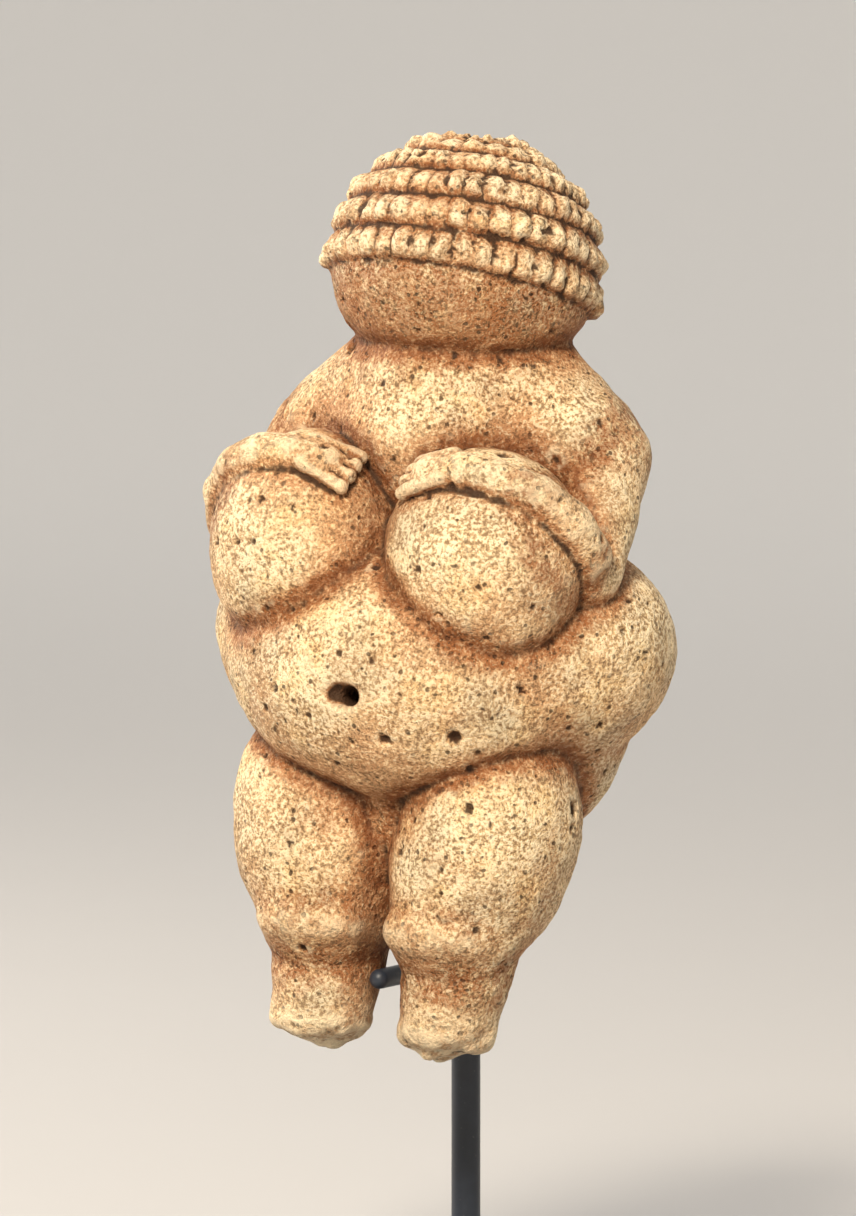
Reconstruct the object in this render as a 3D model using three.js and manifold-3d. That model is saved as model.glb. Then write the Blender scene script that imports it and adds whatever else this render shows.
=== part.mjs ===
// A stone venus figurine of the Ice Age kind, held up by a slim rod on a square foot.
// Millimetres, +Z up. The figure faces -Y, and the origin is the middle of the foot's underside.
import * as THREE from "three";
import { mergeVertices } from "three/addons/utils/BufferGeometryUtils.js";
import Module from "manifold-3d";

// Driving dimensions of the figurine
const FIGURE_HEIGHT = 110; // upright height of the figure
const LEAN_BACK = 5; // degrees that the head leans back in the mount
const LEAN_SIDE = 3; // degrees that the head leans to the figure's left
const CAP_ROWS = 6; // rows of beads on the cap
const CROWN_BEADS = 20; // beads in each of the small rows round the crown; the other rows have twice as many

// Driving dimensions of the mount
const FOOT_WIDTH = 72;
const FOOT_THICKNESS = 9;
const FOOT_BEVEL = 0.8;
const FOOT_CORNER = 1.5; // radius of the upright corners
const SEAT_FLOOR = 4; // steel that is left under the rod's seat
const GROUND_CLEARANCE = 32; // free height under the leg ends
const ROD_DIAMETER = 3.5;
const YOKE_DIAMETER = 2; // the bar that the thighs lean against, and its stem
const YOKE_REACH = 42; // degrees that each arm of the yoke goes round the thighs
const STEM_LENGTH = 3; // from the rod's axis to the yoke's
const FIT_CLEARANCE = 0.3; // gap at the rod's seat, and between the mount and the stone

// Fineness of the facets
const BODY_CELL = 1.5; // grid step of the body's skin, in shares
const BODY_FACETS = 5300;
const ROD_SIDES = 16;
const YOKE_SIDES = 8;
const YOKE_RUNS = 12;

// Forms of the figure, in shares: hundredths of its height, with z = 0 at the leg ends.
// The paired ones are given for its left side (+x). Blend is the width of the soft seam to the forms before it.
const LEG_GAP = 2.7; // between the shanks, where the mount's finger passes
const CHEST = { centre: [0, 3, 60], radii: [16, 10, 14], blend: 1 };
const NECK = { low: [0, 1, 65.5], lowRadius: 12.4, high: [0, 2.6, 77], highRadius: 11.6, blend: 2.5 };
const SHOULDER = { low: [13.4, 3.2, 66.4], lowRadius: 7.8, high: [5, 2.4, 71], highRadius: 9.4, blend: 2 };
const BELLY = { centre: [0, -4.8, 42], radii: [19.5, 14.6, 14.5], blend: 4 };
const FLANK = { centre: [14.4, 3.4, 45.4], radii: [12.4, 12, 11.8], blend: 6 };
const BUTTOCK = { centre: [9.4, 7.4, 35.5], radii: [10.4, 9.6, 11.5], blend: 4.5 };
const WEDGE = { centre: [0, -2.8, 27.5], radii: [7, 5, 9], turn: 25, blend: 1.6 };
const THIGH = { centre: [9.8, -1.2, 26], radii: [9.9, 10.2, 14], blend: 2 };
const ABOVE_KNEE = { low: [7.7, -3, 15], lowRadius: 7.5, high: [8.4, -2.2, 20], highRadius: 8.4, blend: 3 };
const KNEE = { centre: [7.6, -6.4, 14], radii: [6.4, 4.6, 3.4], blend: 1.2 };
const SHANK_TOP_RADIUS = 6.5;
const SHANK = {
  low: [7.5, -2.2, 3.8],
  lowRadius: 5.2,
  high: [LEG_GAP / 2 + SHANK_TOP_RADIUS, -1.6, 12],
  highRadius: SHANK_TOP_RADIUS,
  blend: 1,
};
const LEG_END = { height: 0.2, blend: 3 }; // the blunt ends of the shanks
const UPPER_ARM = { low: [20.2, -3.4, 53.6], lowRadius: 3.9, high: [17.4, 3.2, 66], highRadius: 5.2, blend: 1.2 };
const BREAST = { centre: [10.7, -8.8, 54], radii: [11.2, 10.2, 12.2], blend: 1.8 };
const HEAD = { centre: [0, 0.6, 85.3], radii: [14.6, 14.4, 13.6] };
const NAVEL = { height: 38.5, radii: [1.9, 1.5, 1.1], sides: 12 };
const YOKE_LEVEL = 17.5; // the yoke's height over the leg ends
const FINGER_LEVEL = 3; // the mount's finger lies at least as high as this over the leg ends
const FINGER_REACH = 3; // and ends as far as this in front of the figure's axis

// The forearm lies over the breast. Its bearings run from the breast's middle to the elbow, the wrist and the hand.
const FOREARM = {
  elbow: [0.86, 0.42, -0.1],
  wrist: [0.66, -0.5, 0.6],
  hand: [-0.38, -0.5, 0.78],
  elbowRadius: 3,
  handRadius: 2.2,
  sink: 0.98, // its middle line lies at this share of the breast's own radii
  runs: 6,
  blend: 0.8,
};

// The cap of beads. Polar angles in degrees from the crown.
const CAP = {
  crown: 9, // bare button in the middle
  crownRows: 2, // small rows with half of the beads
  pitch: 15.5, // from row to row
  tilt: 12, // backwards, so that the face is bare
  ridge: 1.3, // height of a bead
  groove: 0.3, // share of that height which is left between two beads
  facets: [0, 0.35, 0.8], // where the facets of a row begin
};
const FACE_ROWS = 4;

const { PI, abs, ceil, cos, floor, max, min, sin, sqrt } = Math;
const inRadians = THREE.MathUtils.degToRad;
const SHARE = FIGURE_HEIGHT / 100;
const LEG_ENDS = FOOT_THICKNESS + GROUND_CLEARANCE;
const wasm = await Module();
wasm.setup();

const clamp = (value, low, high) => min(max(value, low), high);
const mix = (a, b, t) => a + (b - a) * t;
const norm = (x, y, z) => sqrt(x * x + y * y + z * z);
const minus = (a, b) => [a[0] - b[0], a[1] - b[1], a[2] - b[2]];
const dot = (a, b) => a[0] * b[0] + a[1] * b[1] + a[2] * b[2];
const cross = (a, b) => [a[1] * b[2] - a[2] * b[1], a[2] * b[0] - a[0] * b[2], a[0] * b[1] - a[1] * b[0]];

// A form is a function of a point (x, y, z): how far the point lies outside it, negative inside.
function ellipsoid({ centre, radii, turn = 0 }) {
  const c = cos(inRadians(turn));
  const s = sin(inRadians(turn));
  return (x, y, z) => {
    const dy = y - centre[1];
    const dz = z - centre[2];
    const px = (x - centre[0]) / radii[0];
    const py = (dy * c + dz * s) / radii[1];
    const pz = (dz * c - dy * s) / radii[2];
    const reach = norm(px, py, pz);
    const slope = norm(px / radii[0], py / radii[1], pz / radii[2]);
    return slope === 0 ? -min(...radii) : (reach * (reach - 1)) / slope;
  };
}

function limb({ low, lowRadius, high, highRadius }) {
  const along = minus(high, low);
  const length2 = dot(along, along);
  return (x, y, z) => {
    const dx = x - low[0];
    const dy = y - low[1];
    const dz = z - low[2];
    const t = clamp((dx * along[0] + dy * along[1] + dz * along[2]) / length2, 0, 1);
    const gap = norm(dx - t * along[0], dy - t * along[1], dz - t * along[2]);
    return gap - mix(lowRadius, highRadius, t);
  };
}

function forearm({ elbow, wrist, hand, elbowRadius, handRadius, sink, runs }) {
  const spotAt = (t) => {
    const bearing = elbow.map((value, k) => mix(mix(value, wrist[k], t), mix(wrist[k], hand[k], t), t));
    const reach = sink / norm(...bearing.map((value, k) => value / BREAST.radii[k]));
    return BREAST.centre.map((value, k) => value + bearing[k] * reach);
  };
  const limbs = Array.from({ length: runs }, (_, i) => {
    const [start, end] = [i / runs, (i + 1) / runs];
    return limb({
      low: spotAt(start),
      lowRadius: mix(elbowRadius, handRadius, start),
      high: spotAt(end),
      highRadius: mix(elbowRadius, handRadius, end),
    });
  });
  return (x, y, z) => {
    let gap = Infinity;
    for (const form of limbs) gap = min(gap, form(x, y, z));
    return gap;
  };
}

// Joins two forms with a soft seam
function melt(a, b, blend) {
  const near = max(blend - abs(a - b), 0) / blend;
  return min(a, b) - (near * near * blend) / 4;
}

const single = (make, size) => ({ form: make(size), blend: size.blend });
const paired = (make, size) => {
  const form = make(size);
  return { form: (x, y, z) => form(abs(x), y, z), blend: size.blend };
};
const CORE = ellipsoid(CHEST);
const MASSES = [
  single(limb, NECK),
  paired(limb, SHOULDER),
  single(ellipsoid, BELLY),
  paired(ellipsoid, FLANK),
  paired(ellipsoid, BUTTOCK),
  single(ellipsoid, WEDGE),
  paired(ellipsoid, THIGH),
  paired(limb, ABOVE_KNEE),
  paired(ellipsoid, KNEE),
  paired(limb, SHANK),
  paired(limb, UPPER_ARM),
  paired(ellipsoid, BREAST),
  paired(forearm, FOREARM),
];

function body(x, y, z) {
  let gap = CORE(x, y, z);
  for (const { form, blend } of MASSES) gap = melt(gap, form(x, y, z), blend);
  return -melt(-gap, z - LEG_END.height, LEG_END.blend);
}

// A box with room for the whole body
function bodyBox() {
  const box = new THREE.Box3();
  const take = ([x, y, z], radius) => {
    const spot = new THREE.Vector3(abs(x), y, z);
    box.expandByPoint(spot.clone().addScalar(radius));
    box.expandByPoint(spot.set(-abs(x), y, z).subScalar(radius));
  };
  const armRoom = FOREARM.elbowRadius;
  for (const size of [CHEST, BELLY, FLANK, BUTTOCK, WEDGE, THIGH, KNEE]) take(size.centre, max(...size.radii));
  take(BREAST.centre, max(...BREAST.radii) + armRoom);
  for (const size of [NECK, SHOULDER, ABOVE_KNEE, SHANK, UPPER_ARM]) {
    take(size.low, size.lowRadius);
    take(size.high, size.highRadius);
  }
  return box.expandByScalar(BODY_CELL);
}

// Moves a point onto the skin of a form
const SLOPE_STEP = 0.05;
const LEAST_SLOPE = 0.5;
function drawn(form, point) {
  const [x, y, z] = point;
  const gap = form(x, y, z);
  const rises = [
    form(x + SLOPE_STEP, y, z) - gap,
    form(x, y + SLOPE_STEP, z) - gap,
    form(x, y, z + SLOPE_STEP) - gap,
  ];
  const rise = norm(...rises);
  if (rise === 0) return point;
  const move = (-gap * SLOPE_STEP) / (rise * max(rise, SLOPE_STEP * LEAST_SLOPE));
  const spot = point.map((value, k) => value + rises[k] * move);
  return abs(form(...spot)) < abs(gap) ? spot : point;
}

// The six tetrahedra round the diagonal of a cube. Bit k of a corner's number is its step along axis k.
const CORNERS = [0, 1, 2, 3, 4, 5, 6, 7];
const TETRAHEDRA = [
  [0, 1, 3, 7],
  [0, 1, 7, 5],
  [0, 2, 7, 3],
  [0, 2, 6, 7],
  [0, 4, 5, 7],
  [0, 4, 7, 6],
];

// The edges that the skin crosses in a tetrahedron: with two corners on each side of it, and with one apart
const TWO_AND_TWO = [
  [0, 2],
  [0, 3],
  [1, 3],
  [1, 2],
];
const ONE_APART = [
  [0, 1],
  [0, 2],
  [0, 3],
];

function isOdd(order) {
  let swaps = 0;
  for (let i = 0; i < order.length; i++) {
    for (let j = i + 1; j < order.length; j++) swaps += order[i] > order[j] ? 1 : 0;
  }
  return swaps % 2 === 1;
}

// A closed skin of a form in a box, from a grid of cubes that are cut in tetrahedra
function skinOf(form, box, cell) {
  const low = box.min.toArray();
  const counts = box.max.toArray().map((value, k) => ceil((value - low[k]) / cell) + 1);
  const strides = [1, counts[0], counts[0] * counts[1]];
  const spotOf = (id) => strides.map((stride, k) => low[k] + cell * (floor(id / stride) % counts[k]));
  const gaps = Float64Array.from({ length: strides[2] * counts[2] }, (_, id) => form(...spotOf(id)));
  const steps = CORNERS.map((n) => (n & 1) * strides[0] + ((n >> 1) & 1) * strides[1] + (n >> 2) * strides[2]);
  const points = [];
  const triangles = [];
  const known = new Map();
  const crossing = (a, b) => {
    const key = min(a, b) * gaps.length + max(a, b);
    if (!known.has(key)) {
      const t = gaps[a] / (gaps[a] - gaps[b]);
      const from = spotOf(a);
      known.set(key, points.length);
      points.push(spotOf(b).map((value, k) => mix(from[k], value, t)));
    }
    return known.get(key);
  };
  const addTetrahedron = (ids) => {
    const inside = ids.map((_, i) => i).filter((i) => gaps[ids[i]] < 0);
    const outside = ids.map((_, i) => i).filter((i) => gaps[ids[i]] >= 0);
    if (inside.length === 0 || outside.length === 0) return;
    const outsideFirst = outside.length === 1;
    const order = outsideFirst ? [...outside, ...inside] : [...inside, ...outside];
    const crossed = inside.length === 2 ? TWO_AND_TWO : ONE_APART;
    const loop = crossed.map(([i, j]) => crossing(ids[order[i]], ids[order[j]]));
    if (isOdd(order) !== outsideFirst) loop.reverse();
    for (let i = 2; i < loop.length; i++) triangles.push([loop[0], loop[i - 1], loop[i]]);
  };
  for (let k = 0; k < counts[2] - 1; k++) {
    for (let j = 0; j < counts[1] - 1; j++) {
      for (let i = 0; i < counts[0] - 1; i++) {
        const first = i * strides[0] + j * strides[1] + k * strides[2];
        const corners = steps.map((step) => first + step);
        const insides = corners.filter((id) => gaps[id] < 0).length;
        if (insides === 0 || insides === corners.length) continue;
        for (const tetrahedron of TETRAHEDRA) addTetrahedron(tetrahedron.map((n) => corners[n]));
      }
    }
  }
  return { points, triangles };
}

// Folds the flattest edges of a skin away until few enough triangles are left, and keeps their ends on the form
const PASS_SHARE = 0.3; // share of the edges that one pass may fold
const LEAST_FACING = 0.5; // cosine of the largest turn that a fold gives a triangle
const EVENNESS = 2e-3; // weight of an edge's length against the bend at its ends
const FOLD_RING = 4; // the points that the rings round the two ends of a foldable edge share
function thinned({ points, triangles }, form, wanted) {
  let live = triangles;
  let folded = Infinity;
  while (live.length > wanted && folded > 0) {
    const around = points.map(() => []);
    for (const triangle of live) {
      for (const id of triangle) around[id].push(triangle);
    }
    const rings = around.map((list) => new Set(list.flat()));
    const facing = ([a, b, c]) => cross(minus(b, a), minus(c, a));
    const foldOf = (a, b) => {
      let shared = 0;
      for (const id of rings[a]) shared += rings[b].has(id) ? 1 : 0;
      if (shared !== FOLD_RING) return { cost: Infinity };
      const edge = minus(points[a], points[b]);
      const spot = drawn(form, points[a].map((value, k) => (value + points[b][k]) / 2));
      let cost = EVENNESS * dot(edge, edge) ** 2;
      for (const triangle of [...around[a], ...around[b]]) {
        if (triangle.includes(a) && triangle.includes(b)) continue;
        const before = facing(triangle.map((id) => points[id]));
        const after = facing(triangle.map((id) => (id === a || id === b ? spot : points[id])));
        const area = norm(...before);
        if (dot(before, after) <= LEAST_FACING * area * norm(...after)) return { cost: Infinity };
        cost += dot(before, minus(spot, points[triangle[0]])) ** 2 / area;
      }
      return { a, b, spot, cost };
    };
    const folds = [];
    for (const [a, b, c] of live) {
      if (a < b) folds.push(foldOf(a, b));
      if (b < c) folds.push(foldOf(b, c));
      if (c < a) folds.push(foldOf(c, a));
    }
    folds.sort((one, other) => one.cost - other.cost);
    const settled = new Set();
    const joined = new Map();
    const most = ceil((live.length - wanted) / 2);
    for (const { a, b, spot, cost } of folds.slice(0, ceil(folds.length * PASS_SHARE))) {
      if (cost === Infinity || joined.size >= most) break;
      if (settled.has(a) || settled.has(b)) continue;
      for (const id of [...rings[a], ...rings[b]]) settled.add(id);
      points[a] = spot;
      joined.set(b, a);
    }
    folded = joined.size;
    live = live
      .map((triangle) => triangle.map((id) => joined.get(id) ?? id))
      .filter(([a, b, c]) => a !== b && b !== c && c !== a);
  }
  return { points, triangles: live };
}

// Closed meshes for joining and cutting
const SAME_POINT = 1e-4;
function solid(geometry) {
  const bare = geometry.clone();
  bare.deleteAttribute("normal");
  bare.deleteAttribute("uv");
  const { index, attributes } = mergeVertices(bare, SAME_POINT);
  const triVerts = [];
  for (let i = 0; i < index.count; i += 3) {
    const [a, b, c] = [index.getX(i), index.getX(i + 1), index.getX(i + 2)];
    if (a !== b && b !== c && c !== a) triVerts.push(a, b, c);
  }
  const vertProperties = attributes.position.array;
  return new wasm.Manifold(new wasm.Mesh({ numProp: 3, vertProperties, triVerts: Uint32Array.from(triVerts) }));
}

function geometryOf(manifold) {
  const mesh = manifold.getMesh();
  return new THREE.BufferGeometry()
    .setAttribute("position", new THREE.BufferAttribute(mesh.vertProperties, 3))
    .setIndex(new THREE.BufferAttribute(mesh.triVerts, 1));
}

function bodySolid() {
  const { points, triangles } = thinned(skinOf(body, bodyBox(), BODY_CELL), body, BODY_FACETS);
  const geometry = new THREE.BufferGeometry()
    .setAttribute("position", new THREE.Float32BufferAttribute(points.flat(), 3))
    .setIndex(triangles.flat());
  return solid(geometry);
}

// Height of the cap's relief at a polar angle in degrees and an angle round the crown in radians
const BEAD_ROUNDNESS = 0.8;
const ROW_OVERHANG = 1.3; // over 1, the beads of a row are fuller at their lower edge
function capRelief(polar, around) {
  const row = (polar - CAP.crown) / CAP.pitch;
  if (row < 0) return CAP.ridge / 2;
  if (row >= CAP_ROWS) return 0;
  const beads = row < CAP.crownRows ? CROWN_BEADS : CROWN_BEADS * 2;
  const stagger = ((floor(row) % 2) * PI) / 2;
  const bead = abs(sin((around * beads) / 2 + stagger)) ** BEAD_ROUNDNESS;
  const ridge = sin(PI * (row % 1) ** ROW_OVERHANG) ** BEAD_ROUNDNESS;
  return CAP.ridge * ridge * mix(CAP.groove, 1, bead);
}

// The head's grid follows the rows of the cap, so that every bead has its crest and its notches
function headSolid() {
  const polars = [0, CAP.crown / 2];
  for (let row = 0; row < CAP_ROWS; row++) {
    for (const share of CAP.facets) polars.push(CAP.crown + CAP.pitch * (row + share));
  }
  const rim = CAP.crown + CAP.pitch * CAP_ROWS;
  for (let i = 0; i <= FACE_ROWS; i++) polars.push(mix(rim, 180, i / FACE_ROWS));
  const columns = CROWN_BEADS * 4;
  const geometry = new THREE.SphereGeometry(1, columns, polars.length - 1);
  const { position } = geometry.attributes;
  const tiltAxis = new THREE.Vector3(1, 0, 0);
  for (let i = 0; i < position.count; i++) {
    const polar = polars[floor(i / (columns + 1))];
    const around = (2 * PI * ((i % (columns + 1)) % columns)) / columns;
    const bearing = new THREE.Vector3().setFromSphericalCoords(1, inRadians(polar), around);
    bearing.set(bearing.z, bearing.x, bearing.y).applyAxisAngle(tiltAxis, -inRadians(CAP.tilt));
    const skull = 1 / norm(...bearing.toArray().map((value, k) => value / HEAD.radii[k]));
    const reach = skull + capRelief(polar, around);
    position.setXYZ(i, ...bearing.toArray().map((value, k) => HEAD.centre[k] + value * reach));
  }
  return solid(geometry);
}

// Where a ray that comes in from far outside first meets a form, as a distance from its origin
const NEAR_ENOUGH = 1e-3;
const CAREFUL = 0.6; // share of the free distance that one step takes
function reachOf(form, origin, bearing, far) {
  let reach = far;
  let gap = far;
  while (gap > NEAR_ENOUGH && reach > 0) {
    gap = form(...origin.map((value, k) => value + bearing[k] * reach));
    reach -= max(gap, NEAR_ENOUGH) * CAREFUL;
  }
  return reach;
}

function navelSolid() {
  const front = reachOf(body, [0, 0, NAVEL.height], [0, -1, 0], -bodyBox().min.y);
  const geometry = new THREE.SphereGeometry(1, NAVEL.sides, NAVEL.sides / 2);
  return solid(geometry.scale(...NAVEL.radii).translate(0, -front, NAVEL.height));
}

// From shares to millimetres, with the lean that the figure has in its mount
const stance = new THREE.Matrix4()
  .makeTranslation(0, 0, LEG_ENDS)
  .multiply(new THREE.Matrix4().makeRotationY(inRadians(LEAN_SIDE)))
  .multiply(new THREE.Matrix4().makeRotationX(-inRadians(LEAN_BACK)))
  .scale(new THREE.Vector3(SHARE, SHARE, SHARE));
const toShares = stance.clone().invert();

function figurine() {
  const whole = bodySolid().add(headSolid()).subtract(navelSolid());
  return geometryOf(whole).applyMatrix4(stance);
}

// The body in its stance, in millimetres
function standing(x, y, z) {
  const spot = new THREE.Vector3(x, y, z).applyMatrix4(toShares);
  return body(spot.x, spot.y, spot.z) * SHARE;
}

// A round bar along a path, with rounded ends
function bar(path, diameter, runs) {
  const section = new THREE.Shape().absarc(0, 0, diameter / 2, 0, 2 * PI);
  const options = { extrudePath: path, steps: runs, curveSegments: YOKE_SIDES / 2 };
  const endAt = (t) => {
    const { x, y, z } = path.getPointAt(t);
    return solid(new THREE.SphereGeometry(diameter / 2, YOKE_SIDES, YOKE_SIDES / 2).translate(x, y, z));
  };
  return solid(new THREE.ExtrudeGeometry(section, options)).add(endAt(0)).add(endAt(1));
}

// The yoke is an arc behind the thighs, as close as its clearance allows
const YOKE_HEIGHT = LEG_ENDS + YOKE_LEVEL * SHARE;
const YOKE_PROBES = 24;
const PROBE_STEP = 0.2;
function yokePath(radius) {
  const points = Array.from({ length: YOKE_PROBES + 1 }, (_, i) => {
    const angle = inRadians(mix(-YOKE_REACH, YOKE_REACH, i / YOKE_PROBES));
    return new THREE.Vector3(radius * sin(angle), radius * cos(angle), YOKE_HEIGHT);
  });
  return new THREE.CatmullRomCurve3(points);
}

function yokeRadius() {
  const room = YOKE_DIAMETER / 2 + FIT_CLEARANCE;
  let radius = room;
  while (yokePath(radius).points.some(({ x, y, z }) => standing(x, y, z) < room)) radius += PROBE_STEP;
  return radius;
}

const YOKE_RADIUS = yokeRadius();
const ROD_BACK = YOKE_RADIUS + STEM_LENGTH;

// The finger fills the gap between the shanks but for its clearance, and lies as high as the legs allow
const FINGER_DIAMETER = LEG_GAP * SHARE - 2 * FIT_CLEARANCE;
const FINGER_TIP = -FINGER_REACH * SHARE;
const FINGER_LOWEST = LEG_ENDS + FINGER_LEVEL * SHARE;
function fingerHeight() {
  const room = LEG_GAP * SHARE / 2;
  const isClear = (z) => {
    for (let y = FINGER_TIP - room; y < ROD_BACK; y += PROBE_STEP) {
      if (standing(0, y, z) < room) return false;
    }
    return true;
  };
  let height = FINGER_LOWEST;
  while (isClear(height + PROBE_STEP)) height += PROBE_STEP;
  return height;
}

function mountRod() {
  const bottom = SEAT_FLOOR + FIT_CLEARANCE;
  const top = YOKE_HEIGHT + YOKE_DIAMETER;
  const rod = new THREE.CylinderGeometry(ROD_DIAMETER / 2, ROD_DIAMETER / 2, top - bottom, ROD_SIDES);
  rod.rotateX(PI / 2).translate(0, ROD_BACK, (top + bottom) / 2);
  const forward = (height, reach) =>
    new THREE.LineCurve3(new THREE.Vector3(0, ROD_BACK, height), new THREE.Vector3(0, reach, height));
  return solid(rod)
    .add(bar(forward(YOKE_HEIGHT, YOKE_RADIUS), YOKE_DIAMETER, 1))
    .add(bar(yokePath(YOKE_RADIUS), YOKE_DIAMETER, YOKE_RUNS))
    .add(bar(forward(fingerHeight(), FINGER_TIP), FINGER_DIAMETER, 1));
}

function mountFoot() {
  const straight = FOOT_WIDTH / 2 - FOOT_BEVEL - FOOT_CORNER;
  const outline = new THREE.Shape();
  outline.absarc(straight, straight, FOOT_CORNER, 0, PI / 2);
  outline.absarc(-straight, straight, FOOT_CORNER, PI / 2, PI);
  outline.absarc(-straight, -straight, FOOT_CORNER, PI, PI * 1.5);
  outline.absarc(straight, -straight, FOOT_CORNER, PI * 1.5, PI * 2);
  const plate = new THREE.ExtrudeGeometry(outline, {
    depth: FOOT_THICKNESS - 2 * FOOT_BEVEL,
    bevelThickness: FOOT_BEVEL,
    bevelSize: FOOT_BEVEL,
    bevelSegments: 1,
    curveSegments: 2,
  });
  const seatRadius = ROD_DIAMETER / 2 + FIT_CLEARANCE;
  const seatDepth = FOOT_THICKNESS - SEAT_FLOOR;
  const seat = new THREE.CylinderGeometry(seatRadius, seatRadius, seatDepth * 2, ROD_SIDES);
  seat.rotateX(PI / 2).translate(0, ROD_BACK, FOOT_THICKNESS);
  return solid(plate.translate(0, 0, FOOT_BEVEL)).subtract(solid(seat));
}

const stone = new THREE.MeshStandardMaterial({ color: 0xc9a878, roughness: 0.9, metalness: 0 });
const steel = new THREE.MeshStandardMaterial({ color: 0x20242c, roughness: 0.5, metalness: 0.6 });
const object = new THREE.Group();
function addPiece(name, geometry, material) {
  const mesh = new THREE.Mesh(geometry, material);
  mesh.name = name;
  object.add(mesh);
}

addPiece("figurine", figurine(), stone);
addPiece("mount_rod", geometryOf(mountRod()), steel);
addPiece("mount_foot", geometryOf(mountFoot()), steel);

export default object;
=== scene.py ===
"""A stone venus figurine of the Ice Age kind, held up by a slim rod on a square foot.

The figure faces -Y. Its forms are given in shares, which are hundredths of its height,
with z = 0 at the leg ends. Other sizes are in millimetres, unless a comment says otherwise.
"""
import math

import bpy
import numpy as np
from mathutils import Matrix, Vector


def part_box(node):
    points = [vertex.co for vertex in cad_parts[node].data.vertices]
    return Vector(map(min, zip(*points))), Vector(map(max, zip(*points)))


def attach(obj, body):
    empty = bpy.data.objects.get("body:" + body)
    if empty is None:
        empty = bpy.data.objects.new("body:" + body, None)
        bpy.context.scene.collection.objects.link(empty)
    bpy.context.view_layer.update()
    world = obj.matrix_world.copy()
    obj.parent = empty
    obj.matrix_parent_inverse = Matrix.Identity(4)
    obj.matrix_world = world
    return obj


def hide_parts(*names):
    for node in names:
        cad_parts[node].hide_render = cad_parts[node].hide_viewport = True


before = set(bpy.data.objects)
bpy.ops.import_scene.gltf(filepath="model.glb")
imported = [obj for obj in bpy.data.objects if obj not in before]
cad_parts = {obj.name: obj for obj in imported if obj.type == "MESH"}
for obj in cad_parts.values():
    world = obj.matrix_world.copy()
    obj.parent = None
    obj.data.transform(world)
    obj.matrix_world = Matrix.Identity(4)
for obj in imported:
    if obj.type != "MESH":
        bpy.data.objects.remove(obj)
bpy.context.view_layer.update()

MM = 0.001

# Sizes of the figurine and its mount, in millimetres and degrees
FIGURE_HEIGHT = 110
SHARE = FIGURE_HEIGHT / 100
LEAN_BACK = 5
LEAN_SIDE = 3
LEG_ENDS = 41
ROD_DIAMETER = 3.5
YOKE_DIAMETER = 2
YOKE_REACH = 42
STEM_LENGTH = 3
FIT_CLEARANCE = 0.3
ROD_EDGE = 0.3
YOKE_FILLET = 0.5
ROD_FILLET = 0.6
FOOT_ROUNDING = 0.22
FOOT_ROUNDING_STEPS = 3
FOOT_EDGE_ANGLE = 25

# Forms of the figure, in shares. The paired ones are given for its left side (+x).
LEG_GAP = 2.7
CHEST = dict(centre=(0, 3, 60), radii=(16, 10, 14))
NECK = dict(low=(0, 1, 65.5), low_radius=12.4, high=(0, 2.6, 77), high_radius=11.6)
SHOULDER = dict(low=(13.4, 3.2, 66.4), low_radius=7.8, high=(5, 2.4, 71), high_radius=9.4)
BELLY = dict(centre=(0, -4.8, 42), radii=(19.5, 14.6, 14.5))
FLANK = dict(centre=(14.4, 3.4, 45.4), radii=(12.4, 12, 11.8))
BUTTOCK = dict(centre=(9.4, 7.4, 35.5), radii=(10.4, 9.6, 11.5))
WEDGE = dict(centre=(0, -2.8, 27.5), radii=(7, 5, 9), turn=25)
THIGH = dict(centre=(9.8, -1.2, 26), radii=(9.9, 10.2, 14))
ABOVE_KNEE = dict(low=(7.7, -3, 15), low_radius=7.5, high=(8.4, -2.2, 20), high_radius=8.4)
KNEE = dict(centre=(7.6, -6.4, 14), radii=(6.4, 4.6, 3.4))
SHANK = dict(low=(7.5, -2.2, 3.8), low_radius=5.2, high=(LEG_GAP / 2 + 6.5, -1.6, 12), high_radius=6.5)
LEG_END = dict(height=0.2, blend=3)
UPPER_ARM = dict(low=(20.2, -3.4, 53.6), low_radius=3.9, high=(17.4, 3.2, 66), high_radius=5.2)
BREAST = dict(centre=(10.7, -8.8, 54), radii=(11.2, 10.2, 12.2))
HEAD = dict(centre=(0, 0.6, 85.3), radii=(14.6, 14.4, 13.6))
NAVEL = dict(height=38.5, radii=(1.9, 1.5, 1.1), edge=0.6)
NAVEL_DRILL = dict(side=0.6, radii=(1.1, 4.5, 0.95), edge=0.3)

# Corners of a box that holds the figure, in shares
FIGURE_LOW = (-30, -26, -1)
FIGURE_HIGH = (30, 22, 102)

# The belly's front is sought from this many shares before the axis, in so many steps
BELLY_SEARCH = 30
BELLY_SEARCH_STEPS = 3000

# The forearm's bearings from the breast's middle: elbow, wrist and hand
FOREARM_BEARINGS = ((0.86, 0.42, -0.1), (0.66, -0.5, 0.6), (-0.38, -0.5, 0.78))
FOREARM_RADII = (3, 2.2)
FOREARM_SINK = 0.98
FOREARM_RUNS = 6
HAND_START = 0.9

# The fingers spread from the hand. Their roots lie at shares of the tips' spread and reach.
FINGERS = 4
FINGER = dict(reach=0.36, spread=0.17, start_radius=1.1, end_radius=0.85, sink=1.06)
FINGER_ROOT = (0.45, -0.6)

# The mount's finger between the legs: its lowest level above the leg ends and how far forward it
# reaches, in shares, and the steps by which it is raised until it nearly touches, in millimetres
PRONG_LEVEL = 3
PRONG_REACH = 3
PRONG_STEP = 0.2

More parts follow.
